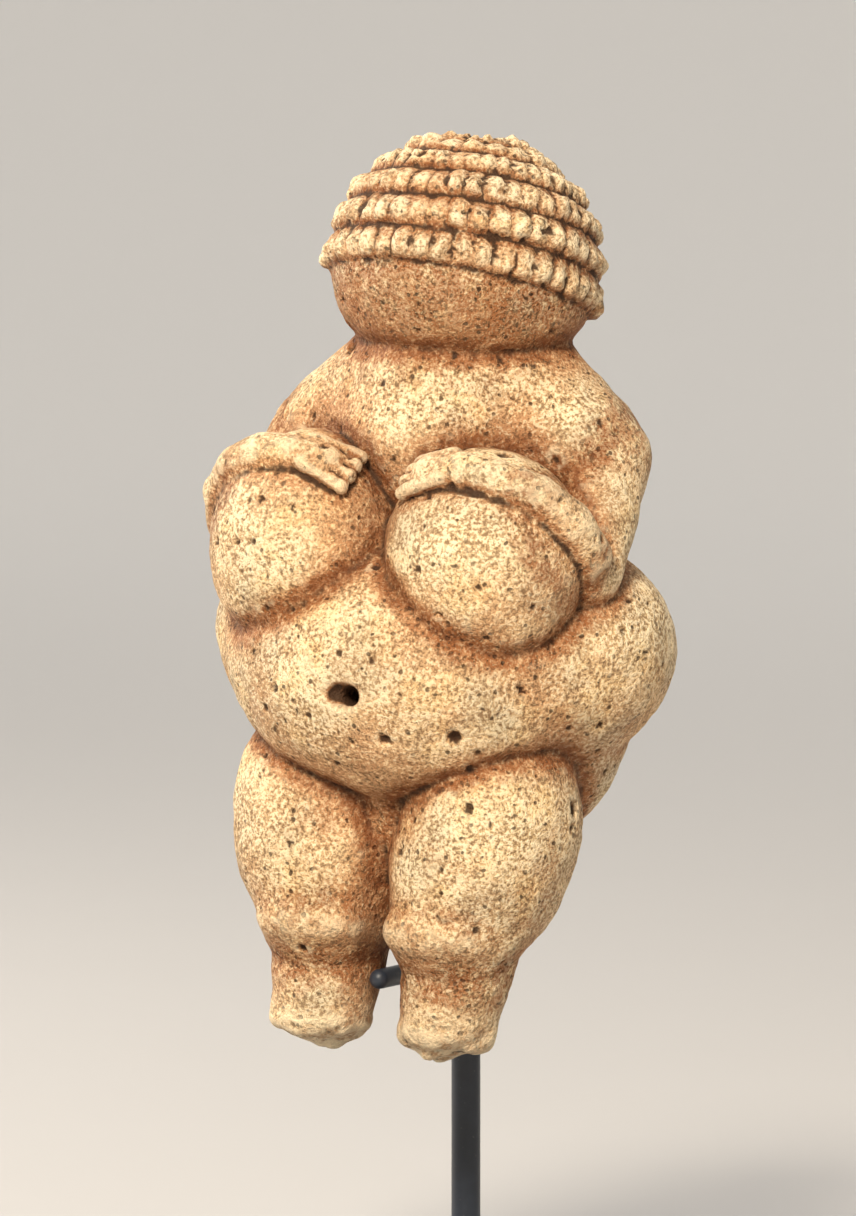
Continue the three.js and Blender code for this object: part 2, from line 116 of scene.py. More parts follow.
# The cap of beads, in shares and degrees
CAP_ROWS = 6
CROWN_BEADS = 20
CROWN_ROWS = 2
CAP_CROWN = 9
CAP_PITCH = 15.5
CAP_TILT = 12
BEAD_HEIGHT = 1.3
BEAD_GROOVE = 0.3
BEAD_UNEVENNESS = 0.5
BEAD_ROUNDNESS = 0.7
BEAD_SALT = 5
ROW_OVERHANG = 1.4
CAP_REACH = 3 * BEAD_HEIGHT

# The carver's hand and the wear, in shares
SEAM_WIDTH = 0.9
GROOVE_FULL = 0.3
HAND_WARP = 0.45
WARP_SIZE = 15
WARP_SALTS = (11, 12, 13)
LARGEST_RELIEF = 0.9
BROKEN_HEIGHT = 7

# Lumps on the stone: each pattern of hills has a size, a height and a salt
HAND_LUMPS = ((5, 0.2, 31), (2.2, 0.12, 32))
BROKEN_LUMPS = ((3.4, 0.9, 21), (1.6, 0.5, 22))
GRAIN_LUMPS = ((0.9, 0.07, 61), (1.7, 0.05, 62))
BEAD_LUMPS = ((1.3, 0.5, 63), (0.75, 0.3, 64))

# Pits, whose depth is a share of their radius. The frequency is the share of places that have one.
# Gouges are pits that are turned by some degrees and longer than they are wide.
WIDE_PITS = dict(spacing=5.5, radii=(0.5, 1.3), frequency=0.35, depth=0.9, salt=41)
SMALL_PITS = dict(spacing=2.4, radii=(0.35, 0.7), frequency=0.5, depth=0.8, salt=51)
GOUGES = dict(spacing=8, radii=(0.6, 1.2), frequency=0.3, depth=0.9, salt=56)
GOUGE_TURNS = (35, 20)
GOUGE_SLIMNESS = 2.6

# Where the stone is stained and worn, and where shade and highlights are painted on it, in shares. A pair is
# where a mask starts and where it is full.
# The rounds are how often the skin is smoothed to find broad and fine hollows.
OCHRE_WIDTH = 2.2
CORE_WIDTH = 0.65
SHELTER_REACHES = (2, 6, 14)
BROAD_ROUNDS = 45
FINE_ROUNDS = 5
VALLEY_DEPTH = (0, 0.5)
CROWN_RISE = (0, 0.35)
EDGE_RISE = (0, 0.14)
HOLLOW_DEPTH = 0.12
HOLLOW_LOST_IN_CREASE = 0.6
# Painted shade in the navel and its drilled hole
NAVEL_SHADE = (0.5, -0.5)
DRILL_SHADE = (0.4, -0.6)
DRILL_STRENGTH = 3
CAP_SHADE = dict(centre=(0, -5, 78.5), radii=(22, 19, 11), fade=(1.15, 0.15), strength=0.9)
# An ochre stain below the knees, with painted shade under the thighs
SHIN_STAIN_AND_SHADE = dict(height=9, spread=5, strength=0.75)
WORN_HEIGHT = 6

# Masks on the head: the fade is in bead heights from the skull, the others in shares of a bead's height
HEAD_REACH = 2
HEAD_FADE = (HEAD_REACH, 8 / 9)
NOTCH_HEIGHT = 0.9
NOTCH_STRENGTH = 1.1
GAP_FADE = (0.625, 0)
EDGE_LOST_ON_HEAD = 0.7

# Parts of the shelter mask, which paints shade and warms the stain: closed-in places, undersides and the cap
SHELTER_STRENGTH = 1.3
UNDERSIDE = (0.1, 1.1)
UNDERSIDE_STRENGTH = 0.3
CAP_STRENGTH = 0.15

# The skins' grids, in shares for the figure and millimetres for the mount
FIGURE_STEP = 0.44
MOUNT_STEP = 0.19
MOUNT_MARGIN = 0.5
COARSE_CELLS = 4
COARSE_MARGIN = 1.6
BATCH = 200000
SETTLE_ROUNDS = 2
LEAST_GROWTH = 0.5
TINY = 1e-9


def degrees_turn(axis, degrees):
    """The matrix that turns about an axis: 0 for X, 1 for Y and 2 for Z."""
    cosine, sine = math.cos(math.radians(degrees)), math.sin(math.radians(degrees))
    matrix = np.eye(3)
    first, second = (axis + 1) % 3, (axis + 2) % 3
    matrix[first, first] = matrix[second, second] = cosine
    matrix[first, second], matrix[second, first] = -sine, sine
    return matrix


STANCE = degrees_turn(1, LEAN_SIDE) @ degrees_turn(0, -LEAN_BACK)


def length(vectors):
    """The length of each row."""
    return np.sqrt(np.einsum("ij,ij->i", vectors, vectors))


def ramp(values, start, full):
    """How far each value has gone from start to full, from 0 to 1."""
    return np.clip((values - start) / (full - start), 0, 1)


# A form is a function of points that gives how far each lies outside it, negative inside.
def ellipsoid(centre, radii, turn=0):
    """An ellipsoid that leans about X by some degrees."""
    middle = np.array(centre, np.float32)
    radii = np.array(radii, np.float32)
    matrix = degrees_turn(0, turn).astype(np.float32)

    def form(points):
        inside = (points - middle) @ matrix / radii
        reach = length(inside)
        slope = length(inside / radii) + TINY
        return reach * (reach - 1) / slope

    return form


def limb(low, low_radius, high, high_radius):
    """A round limb between two points, with round ends."""
    start = np.array(low, np.float32)
    along = np.array(high, np.float32) - start

    def form(points):
        away = points - start
        share = np.clip(away @ along / (along @ along), 0, 1)
        return length(away - share[:, None] * along) - (low_radius + (high_radius - low_radius) * share)

    return form


def over_breast(bearing, sink):
    """The point at a share of the breast's radii, in a bearing from its middle."""
    bearing = np.array(bearing, float)
    centre, radii = np.array(BREAST["centre"], float), np.array(BREAST["radii"], float)
    return centre + bearing * sink / np.linalg.norm(bearing / radii)


def forearm_bearing(share):
    """The bearing along the forearm, from 0 at the elbow to 1 at the hand."""
    elbow, wrist, hand = (np.array(bearing) for bearing in FOREARM_BEARINGS)
    upper = elbow * (1 - share) + wrist * share
    lower = wrist * (1 - share) + hand * share
    return upper * (1 - share) + lower * share


def nearest(forms):
    """All the forms as one, without seams."""
    return lambda points: np.min([form(points) for form in forms], axis=0)


def forearm():
    """The forearm and its hand over the breast."""
    limbs = []
    for run in range(FOREARM_RUNS):
        ends = [(run + side) / FOREARM_RUNS for side in (0, 1)]
        spots = [over_breast(forearm_bearing(share), FOREARM_SINK) for share in ends]
        radii = [FOREARM_RADII[0] + (FOREARM_RADII[1] - FOREARM_RADII[0]) * share for share in ends]
        limbs.append(limb(spots[0], radii[0], spots[1], radii[1]))
    return nearest(limbs)


def fingers():
    """Four short fingers that spread from the hand."""
    hand = forearm_bearing(1)
    forward = hand - forearm_bearing(HAND_START)
    forward /= np.linalg.norm(forward)
    sideways = np.cross(hand, forward)
    sideways /= np.linalg.norm(sideways)
    limbs = []
    for finger in range(FINGERS):
        offset = sideways * FINGER["spread"] * (finger - (FINGERS - 1) / 2)
        spots = [over_breast(hand + offset * widening + forward * FINGER["reach"] * reach, FINGER["sink"])
                 for widening, reach in (FINGER_ROOT, (1, 1))]
        limbs.append(limb(spots[0], FINGER["start_radius"], spots[1], FINGER["end_radius"]))
    return nearest(limbs)


def melt(first, second, blend, groove=0):
    """Joins two forms with a soft seam, and cuts a groove along it."""
    apart = np.abs(first - second)
    near = np.maximum(blend - apart, 0) / blend
    joined = np.minimum(first, second) - near * near * blend / 4
    return joined + groove * np.exp(-(apart / SEAM_WIDTH) ** 2)


def carve(form, tool, blend):
    """Takes a tool's form away, with a soft edge."""
    near = np.maximum(blend - np.abs(form + tool), 0) / blend
    return np.maximum(form, -tool) + near * near * blend / 4


def paired(form):
    """The same form on both sides."""
    return lambda points: form(np.abs(points) * (1, 0, 0) + points * (0, 1, 1))


# Each mass with the width of its soft seam, and the depth of the groove along it
MASSES = (
    (limb(**NECK), 2.5, 0),
    (paired(limb(**SHOULDER)), 2, 0),
    (ellipsoid(**BELLY), 4, 0),
    (paired(ellipsoid(**FLANK)), 5.5, 0.1),
    (paired(ellipsoid(**BUTTOCK)), 4, 0.12),
    (ellipsoid(**WEDGE), 1.6, 0.12),
    (paired(ellipsoid(**THIGH)), 1.4, 0.4),
    (paired(limb(**ABOVE_KNEE)), 3, 0),
    (paired(ellipsoid(**KNEE)), 1, 0.16),
    (paired(limb(**SHANK)), 0.8, 0.22),
    (paired(limb(**UPPER_ARM)), 1.2, 0.25),
    (paired(ellipsoid(**BREAST)), 1.2, 0.4),
    (paired(forearm()), 0.7, 0.12),
    (paired(fingers()), 0.4, 0.14),
)
CORE = ellipsoid(**CHEST)
SKULL = ellipsoid(**HEAD)
HEAD_SEAM = (0.6, 0.35)


def seams(points, width):
    """How near each point of the skin lies to a carved seam between two masses, from 0 to 1."""
    gap = CORE(points)
    nearness = np.zeros(len(points))
    for form, blend, groove in (*MASSES, (SKULL, *HEAD_SEAM)):
        other = form(points)
        along_seam = min(groove / GROOVE_FULL, 1) * np.exp(-(np.abs(gap - other) / width) ** 2)
        nearness = np.maximum(nearness * (other > -width), along_seam)
        gap = melt(gap, other, blend)
    return nearness


def with_leg_ends(gap, points):
    """The form cut off level at the leg ends, with a soft edge."""
    return -melt(-gap, points[:, 2] - LEG_END["height"], LEG_END["blend"])


def plain_body(points):
    """The body without head, grooves and wear, which the mount is fitted to."""
    gap = CORE(points)
    for form, blend, _ in MASSES:
        gap = melt(gap, form(points), blend)
    return with_leg_ends(gap, points)


def closed_in(points, normals):
    """How much the forms close in over each point of the skin, from 0 on a crown to 1 in a crease."""
    total = np.zeros(len(points))
    for reach in SHELTER_REACHES:
        spots = (points + normals * reach).astype(np.float32)
        total += np.clip(1 - np.minimum(plain_body(spots), SKULL(spots)) / reach, 0, 1)
    return total / len(SHELTER_REACHES)


# Random patterns that are the same in every run
HASH_STEPS = np.array([73856093, 19349663, 83492791])
HASH_SALT = 2654435761
HASH_FACTOR = 0x45D9F3B
HASH_SHIFT = 16
HASH_MASK = 0xFFFFFFFF


def cell_random(cells, salt):
    """A number from 0 to 1 for each whole-numbered cell."""
    mixed = (cells @ HASH_STEPS[: cells.shape[1]] + salt * HASH_SALT) & HASH_MASK
    for _ in range(2):
        mixed = ((mixed >> HASH_SHIFT) ^ mixed) * HASH_FACTOR & HASH_MASK
    return ((mixed >> HASH_SHIFT) ^ mixed) / (HASH_MASK + 1)


def hills(points, size, salt):
    """Soft random hills and dips of about that size, from -1 to 1."""
    spots = points / size
    low = np.floor(spots).astype(np.int64)
    share = spots - low
    share = share * share * (3 - 2 * share)
    total = np.zeros(len(points))
    for corner in np.ndindex(2, 2, 2):
        weight = np.where(corner, share, 1 - share).prod(axis=1)
        total += weight * cell_random(low + np.array(corner), salt)
    return total * 2 - 1


def lumps(points, patterns):
    """Several patterns of hills on top of each other."""
    return sum(height * hills(points, size, salt) for size, height, salt in patterns)


def pits(points, spacing, radii, frequency, depth, salt):
    """The depth of round pits that are scattered at about that spacing."""
    spots = points / spacing
    low = np.floor(spots).astype(np.int64)
    deepest = np.zeros(len(points))
    for step in np.ndindex(3, 3, 3):
        cells = low + np.array(step) - 1
        centres = cells + np.stack([cell_random(cells, salt + axis) for axis in range(3)], axis=1)
        radius = radii[0] + (radii[1] - radii[0]) * cell_random(cells, salt + 3) ** 2
        apart = length(spots - centres) * spacing / radius
        here = (cell_random(cells, salt + 4) < frequency) & (apart < 1)
        deepest = np.maximum(deepest, np.where(here, depth * radius * (1 - apart * apart), 0))
    return deepest


def cap_relief(points):
    """How far the cap stands out: rows of staggered beads round a plain crown, over a bare face."""
    away = (points - HEAD["centre"]) @ degrees_turn(0, -CAP_TILT)
    polar = np.degrees(np.arccos(np.clip(away[:, 2] / (length(away) + TINY), -1, 1)))
    around = np.arctan2(away[:, 1], away[:, 0])
    level = (polar - CAP_CROWN) / CAP_PITCH
    row = np.floor(level)
    beads = np.where(row < CROWN_ROWS, CROWN_BEADS, CROWN_BEADS * 2)
    turn = (around / (2 * math.pi)) % 1 * beads + (row % 2) / 2
    bead = np.stack([row, np.floor(turn) % beads], axis=1).astype(np.int64)
    size = 1 - BEAD_UNEVENNESS * cell_random(bead, BEAD_SALT)
    across = np.abs(np.sin(math.pi * turn)) ** BEAD_ROUNDNESS * size
    down = np.abs(np.sin(math.pi * np.clip(level - row, 0, 1) ** ROW_OVERHANG)) ** BEAD_ROUNDNESS
    relief = BEAD_HEIGHT * down * (BEAD_GROOVE + (1 - BEAD_GROOVE) * across)
    return np.where(level < 0, BEAD_HEIGHT / 2, np.where(level < CAP_ROWS, relief, 0))


def head(points):
    """The head with its cap."""
    skull = SKULL(points)
    near = np.abs(skull) < CAP_REACH
    skull[near] -= cap_relief(points[near])
    return skull


def front_of_belly():
    """How far forward the belly reaches at the navel's height."""
    depths = np.linspace(-BELLY_SEARCH, 0, BELLY_SEARCH_STEPS + 1)
    line = np.stack([0 * depths, depths, 0 * depths + NAVEL["height"]], axis=1)
    return depths[np.argmax(plain_body(line) < 0)]


NAVEL_FRONT = front_of_belly()
NAVEL_TOOL = ellipsoid((0, NAVEL_FRONT, NAVEL["height"]), NAVEL["radii"])
DRILL_TOOL = ellipsoid((NAVEL_DRILL["side"], NAVEL_FRONT, NAVEL["height"]), NAVEL_DRILL["radii"])


def figure(points):
    """The whole carved figure, a little uneven as the carver's hand left it."""
    drift = np.stack([hills(points, WARP_SIZE, salt) for salt in WARP_SALTS], axis=1)
    spots = (points + HAND_WARP * drift).astype(np.float32)
    gap = CORE(spots)
    for form, blend, groove in MASSES:
        gap = melt(gap, form(spots), blend, groove)
    gap = with_leg_ends(gap, points) + ramp(points[:, 2], BROKEN_HEIGHT, 0) * lumps(points, BROKEN_LUMPS)
    gap = melt(gap, head(spots), *HEAD_SEAM)
    gap = carve(gap, NAVEL_TOOL(points), NAVEL["edge"])
    gap = carve(gap, DRILL_TOOL(points), NAVEL_DRILL["edge"])
    return gap + lumps(points, HAND_LUMPS)


# A skin of four-sided faces over a form
def surface_net(values, low, step):
    """The faces where a grid of values changes sign, with a point in each cell."""
    inside = values < 0
    counts = np.array(values.shape)
    strides = np.array([(counts[1] - 1) * (counts[2] - 1), counts[2] - 1, 1])
    total = int(np.prod(counts - 1))
    sums, hits, quads = np.zeros((total, 3)), np.zeros(total), []
    for axis in range(3):
        across, up = (axis + 1) % 3, (axis + 2) % 3
        lower, upper = [slice(None)] * 3, [slice(None)] * 3
        lower[axis], upper[axis] = slice(None, -1), slice(1, None)
        edges = np.argwhere(inside[tuple(lower)] != inside[tuple(upper)])
        ends = edges.copy()
        ends[:, axis] += 1
        start, end = values[tuple(edges.T)], values[tuple(ends.T)]
        crossings = edges.astype(float)
        crossings[:, axis] += start / (start - end)
        corners = []
        for shift in ((-1, -1), (0, -1), (0, 0), (-1, 0)):
            cells = edges.copy()
            cells[:, [across, up]] += shift
            corners.append(cells @ strides)
            for k in range(3):
                sums[:, k] += np.bincount(corners[-1], crossings[:, k], total)
            hits += np.bincount(corners[-1], minlength=total)
        quad = np.stack(corners, axis=1)
        quad[start > 0] = quad[start > 0][:, ::-1]
        quads.append(quad)
    used = hits > 0
    number = np.cumsum(used) - 1
    return sums[used] / hits[used][:, None] * step + low, number[np.concatenate(quads)]


def one_skin(points, faces):
    """The largest skin alone, without the tiny bubbles that lie where two masses nearly touch."""
    ends = np.sort(np.stack([faces, np.roll(faces, -1, axis=1)], axis=2), axis=2) @ (len(points), 1)
    _, edges, counts = np.unique(ends, return_inverse=True, return_counts=True)
    edges = edges.reshape(faces.shape)
    group = np.arange(len(faces))
    spreading = True
    while spreading:
        lowest = np.full(len(counts), len(faces))
        np.minimum.at(lowest, edges, group[:, None])
        joined = np.where(counts[edges] == 2, lowest[edges], group[:, None]).min(axis=1)
        joined = joined[joined]
        spreading = not np.array_equal(joined, group)
        group = joined
    kept = faces[group == np.bincount(group).argmax()]
    used = np.zeros(len(points), bool)
    used[kept] = True
    return points[used], (np.cumsum(used) - 1)[kept]


def skin(form, low, high, step):
    """The skin of a form in a box. Only the cells near it are worked out finely."""
    counts = [int(math.ceil((b - a) / step / COARSE_CELLS)) * COARSE_CELLS + 1 for a, b in zip(low, high)]
    axes = [a + step * np.arange(count) for a, count in zip(low, counts)]
    rough = np.stack(np.meshgrid(*(axis[::COARSE_CELLS] for axis in axes), indexing="ij"), axis=-1)
    rough_values = form(rough.reshape(-1, 3).astype(np.float32)).reshape(rough.shape[:3])
    pick = [np.round(np.arange(count) / COARSE_CELLS).astype(int) for count in counts]
    values = rough_values[np.ix_(*pick)].astype(np.float32)
    near = np.argwhere(np.abs(values) < step * COARSE_CELLS * COARSE_MARGIN)
    spots = np.stack([axes[k][near[:, k]] for k in range(3)], axis=1).astype(np.float32)
    parts = np.array_split(spots, max(1, len(spots) // BATCH))
    values[tuple(near.T)] = np.concatenate([form(part) for part in parts])
    return one_skin(*surface_net(values, np.array(low), step))


def normals_of(form, points, reach=0.06):
    """The outward direction at each point, and how fast the form's gap grows along it."""
    slopes = np.empty(points.shape)
    for axis in range(3):
        step = np.zeros(3)
        step[axis] = reach
        slopes[:, axis] = form((points + step).astype(np.float32)) - form((points - step).astype(np.float32))
    size = length(slopes) + TINY
    return slopes / size[:, None], size / (2 * reach)


def settled(form, points, step):
    """The points drawn onto the form's skin."""
    for _ in range(SETTLE_ROUNDS):
        normals, growth = normals_of(form, points)
        gap = form(points.astype(np.float32)) / np.maximum(growth, LEAST_GROWTH)
        points = points - normals * np.clip(gap, -step / 2, step / 2)[:, None]
    return points


def smoothed(points, faces, rounds):
    """The points after some rounds in which each moves to the middle of its neighbours."""
    edges = np.concatenate([faces[:, [k, (k + 1) % 4]] for k in range(4)])
    count = np.bincount(edges[:, 0], minlength=len(points)) + np.bincount(edges[:, 1], minlength=len(points))
    for _ in range(rounds):
        sums = [np.bincount(edges[:, 0], points[edges[:, 1], k], len(points))
                + np.bincount(edges[:, 1], points[edges[:, 0], k], len(points)) for k in range(3)]
        points = np.stack(sums, axis=1) / count[:, None]
    return points


def depth_below(points, faces, normals, rounds):
    """How deep each point lies below its smoothed surroundings."""
    return np.einsum("ij,ij->i", smoothed(points, faces, rounds) - points, normals)


def new_piece(name, points, faces):
    """A smooth mesh object that rides on the object's one body. The points are in millimetres."""
    mesh = bpy.data.meshes.new(name)
    mesh.vertices.add(len(points))
    mesh.vertices.foreach_set("co", (points * MM).astype(np.float32).ravel())
    mesh.loops.add(faces.size)
    mesh.loops.foreach_set("vertex_index", faces.astype(np.int32).ravel())
    mesh.polygons.add(len(faces))
    mesh.polygons.foreach_set("loop_start", np.arange(0, faces.size, 4, dtype=np.int32))
    mesh.polygons.foreach_set("loop_total", np.full(len(faces), 4, np.int32))
    mesh.polygons.foreach_set("use_smooth", np.ones(len(faces), bool))
    mesh.update()
    piece = bpy.data.objects.new(name, mesh)
    bpy.context.scene.collection.objects.link(piece)
    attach(piece, "root")
    return piece


def from_skull(points):
    """How far each point lies from the bare skull, in bead heights."""
    return np.abs(SKULL(points.astype(np.float32))) / BEAD_HEIGHT


def carved_skin():
    """The figure's skin with pits, chips and grain: points, faces, normals and the rise on the cap."""
    points, faces = skin(figure, FIGURE_LOW, FIGURE_HIGH, FIGURE_STEP)
    points = settled(figure, points, FIGURE_STEP)
    normals, _ = normals_of(figure, points)
    on_cap = cap_relief(points) * (from_skull(points) < HEAD_REACH) / BEAD_HEIGHT
    lean, turn = GOUGE_TURNS
    stretch = degrees_turn(1, lean) @ np.diag((1, 1, GOUGE_SLIMNESS)) @ degrees_turn(0, turn)
    relief = lumps(points, GRAIN_LUMPS) + on_cap * lumps(points, BEAD_LUMPS)
    relief -= pits(points, **WIDE_PITS) + pits(points, **SMALL_PITS) + pits(points @ stretch, **GOUGES)
    relief = np.clip(relief, -LARGEST_RELIEF, LARGEST_RELIEF)
    return points + normals * relief[:, None], faces, normals, on_cap


def stone_masks(points, faces, normals, on_cap):
    """Where the stone is stained and worn, and where shade is painted in sheltered and hollow places and
    highlights on raised ones, from 0 to 1 for each point.
    """
    spots = points.astype(np.float32)
    broad = depth_below(points, faces, normals, BROAD_ROUNDS)
    fine = depth_below(points, faces, normals, FINE_ROUNDS)
    creases = seams(spots, OCHRE_WIDTH)
    valleys = np.maximum(creases, ramp(broad, *VALLEY_DEPTH))
    # Painted shade with ochre: the face under the cap and the shins below the knees
    from_cap_shade = length((points - CAP_SHADE["centre"]) / CAP_SHADE["radii"])
    under_cap = CAP_SHADE["strength"] * ramp(from_cap_shade, *CAP_SHADE["fade"])
    from_shins = (points[:, 2] - SHIN_STAIN_AND_SHADE["height"]) / SHIN_STAIN_AND_SHADE["spread"]
    on_shins = SHIN_STAIN_AND_SHADE["strength"] * np.exp(-from_shins ** 2)
    on_head = ramp(from_skull(points), *HEAD_FADE)
    bead_rise = cap_relief(points) / BEAD_HEIGHT
    # Painted shade in the notches between the beads
    notches = on_head * NOTCH_STRENGTH * (NOTCH_HEIGHT - np.clip(bead_rise, 0, NOTCH_HEIGHT))
    # Painted shade in the gaps between the rows of beads
    bead_gaps = (bead_rise > 0) * on_head * ramp(on_cap, *GAP_FADE)
    # Painted shade: darker where the forms close in, on undersides and on the cap
    shelter_shade_and_stain = SHELTER_STRENGTH * closed_in(points, normals)
    shelter_shade_and_stain += UNDERSIDE_STRENGTH * ramp(-normals[:, 2], *UNDERSIDE) + CAP_STRENGTH * (on_cap > 0)
    # Painted shade: dark in fine hollows, pits and the navel
    hollow_shade = fine / HOLLOW_DEPTH * (1 - HOLLOW_LOST_IN_CREASE * creases)
    hollow_shade += ramp(NAVEL_TOOL(points), *NAVEL_SHADE)
    hollow_shade += DRILL_STRENGTH * ramp(DRILL_TOOL(points), *DRILL_SHADE)
    return dict(
        crease_ochre_and_shade=np.max([valleys, under_cap, on_shins, notches], axis=0),
        core=np.maximum(seams(spots, CORE_WIDTH), bead_gaps),
        crest_highlight=on_cap,
        shelter_shade_and_stain=np.clip(shelter_shade_and_stain, 0, 1),
        crown_highlight=ramp(-broad, *CROWN_RISE),
        hollow_shade=np.clip(hollow_shade, 0, 1),
        edge=ramp(-fine, *EDGE_RISE) * (1 - EDGE_LOST_ON_HEAD * on_head),
        worn_end=ramp(points[:, 2], WORN_HEIGHT, 0),
    )


def carved_figure():
    """The figure in its stance, with the masks that its material reads."""
    points, faces, normals, on_cap = carved_skin()
    piece = new_piece("figurine_stone", points @ STANCE.T * SHARE + (0, 0, LEG_ENDS), faces)
    for name, values in stone_masks(points, faces, normals, on_cap).items():
        mask = piece.data.attributes.new(name, "FLOAT", "POINT")
        mask.data.foreach_set("value", values.astype(np.float32))
    return piece


# The mount
def cylinder(low, high, radius):
    """An upright round bar with flat ends."""
    def form(points):
        side = np.hypot(points[:, 0] - low[0], points[:, 1] - low[1]) - radius
        ends = np.abs(points[:, 2] - (low[2] + high[2]) / 2) - (high[2] - low[2]) / 2
        return -melt(-side, -ends, ROD_EDGE)

    return form


def arc(radius, height, reach, thickness):
    """A round bar that is bent round the Z axis, behind it."""
    def form(points):
        angle = np.clip(np.arctan2(points[:, 0], points[:, 1]), -math.radians(reach), math.radians(reach))
        spine = np.stack([radius * np.sin(angle), radius * np.cos(angle), 0 * angle + height], axis=1)
        return length(points - spine) - thickness / 2

    return form


def prong_height(tip, back):
    """As high as the mount's finger can lie between the legs with its clearance."""
    room = LEG_GAP * SHARE / 2
    depths = np.arange(tip - room, back, PRONG_STEP)

    def fits(height):
        line = np.stack([0 * depths, depths, 0 * depths + height], axis=1)
        shares = (line - (0, 0, LEG_ENDS)) @ STANCE / SHARE
        return (plain_body(shares) * SHARE).min() >= room

    height = LEG_ENDS + PRONG_LEVEL * SHARE
    while fits(height + PRONG_STEP):
        height += PRONG_STEP
    return height


def brazed_rod():
    """The rod with its stem, yoke and finger, and a fillet of braze at each joint."""
    low, high = (np.array(corner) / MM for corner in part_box("mount_rod"))
    back = high[1] - ROD_DIAMETER / 2
    radius = back - STEM_LENGTH
    yoke_height = high[2] - YOKE_DIAMETER
    tip = -PRONG_REACH * SHARE
    level = prong_height(tip, back)
    thickness = LEG_GAP * SHARE - 2 * FIT_CLEARANCE
    rod = cylinder((0, back, low[2]), (0, back, high[2]), ROD_DIAMETER / 2)
    stem = limb((0, back, yoke_height), YOKE_DIAMETER / 2, (0, radius, yoke_height), YOKE_DIAMETER / 2)
    yoke = arc(radius, yoke_height, YOKE_REACH, YOKE_DIAMETER)
    prong = limb((0, back, level), thickness / 2, (0, tip, level), thickness / 2)

    def form(points):
        cradle = melt(stem(points), yoke(points), YOKE_FILLET)
        return melt(melt(rod(points), cradle, ROD_FILLET), prong(points), ROD_FILLET)

    points, faces = skin(form, low - MOUNT_MARGIN, high + MOUNT_MARGIN, MOUNT_STEP)
    points = settled(form, points, MOUNT_STEP)
    return new_piece("mount_rod_steel", points, faces)


class Shader:
    """A material. Its patterns lie on the object, and their sizes are in millimetres."""

    def __init__(self, name):
        self.material = bpy.data.materials.new(name)
        self.material.use_nodes = True
        self.tree = self.material.node_tree
        self.surface = self.tree.nodes["Principled BSDF"]
        self.place = self.tree.nodes.new("ShaderNodeTexCoord").outputs["Object"]

    def put(self, socket, value):
        """Sets a socket to a plain value, or links it to an output."""
        if isinstance(value, bpy.types.NodeSocket):
            self.tree.links.new(value, socket)
        else:
            socket.default_value = value

    def noise(self, size, detail=2, roughness=0.5, output="Fac"):
        """Soft noise of about that size, from 0 to 1."""
        node = self.tree.nodes.new("ShaderNodeTexNoise")
        settings = dict(Vector=self.place, Scale=1 / (size * MM), Detail=detail, Roughness=roughness)
        for name, value in settings.items():
            self.put(node.inputs[name], value)
        return node.outputs[output]

    def cells(self, size, shift):
        """Cells of about that size, pushed about by up to the shift: the distance to the nearest middle."""
        pushed = self.vector("MULTIPLY_ADD", self.noise(size, output="Color"), (shift * MM,) * 3, self.place)
        node = self.tree.nodes.new("ShaderNodeTexVoronoi")
        self.put(node.inputs["Vector"], pushed)
        self.put(node.inputs["Scale"], 1 / (size * MM))
        return node.outputs["Distance"]

    def vector(self, operation, *values, output="Vector"):
        """A sum on vectors."""
        node = self.tree.nodes.new("ShaderNodeVectorMath")
        node.operation = operation
        for socket, value in zip(node.inputs, values):
            self.put(socket, value)
        return node.outputs[output]

    def math(self, operation, *values):
        """A sum on numbers."""
        node = self.tree.nodes.new("ShaderNodeMath")
        node.operation = operation
        for socket, value in zip(node.inputs, values):
            self.put(socket, value)
        return node.outputs["Value"]

    def times(self, first, second):
        """One number times another."""
        return self.math("MULTIPLY", first, second)

    def scaled(self, value, between, to=(0, 1)):
        """Takes a value softly from one range to another."""
        node = self.tree.nodes.new("ShaderNodeMapRange")
        node.interpolation_type = "SMOOTHSTEP"
        names = ("Value", "From Min", "From Max", "To Min", "To Max")
        for name, number in zip(names, (value, *between, *to)):
            self.put(node.inputs[name], number)
        return node.outputs["Result"]

    def mix(self, first, second, share):
        """Mixes two colours, with that share of the second."""
        node = self.tree.nodes.new("ShaderNodeMix")
        node.data_type = "RGBA"
        for name, value in (("Factor_Float", share), ("A_Color", first), ("B_Color", second)):
            socket = next(one for one in node.inputs if one.identifier == name)
            self.put(socket, (*value, 1) if isinstance(value, tuple) else value)
        return next(one for one in node.outputs if one.identifier == "Result_Color")

    def mask(self, name):
        """A number that the mesh stores for each point."""
        node = self.tree.nodes.new("ShaderNodeAttribute")
        node.attribute_name = name
        return node.outputs["Fac"]

    def bump(self, height, depth, strength):
        """Small relief from a height between 0 and 1."""
        node = self.tree.nodes.new("ShaderNodeBump")
        self.put(node.inputs["Height"], height)
        self.put(node.inputs["Distance"], depth * MM)
        self.put(node.inputs["Strength"], strength)
        return node.outputs["Normal"]

    def finish(self, colour, roughness, normal=None):
        """Sets what the surface shows, and gives the material."""
        self.put(self.surface.inputs["Base Color"], colour)
        self.put(self.surface.inputs["Roughness"], roughness)
        if normal is not None:
            self.put(self.surface.inputs["Normal"], normal)
        return self.material


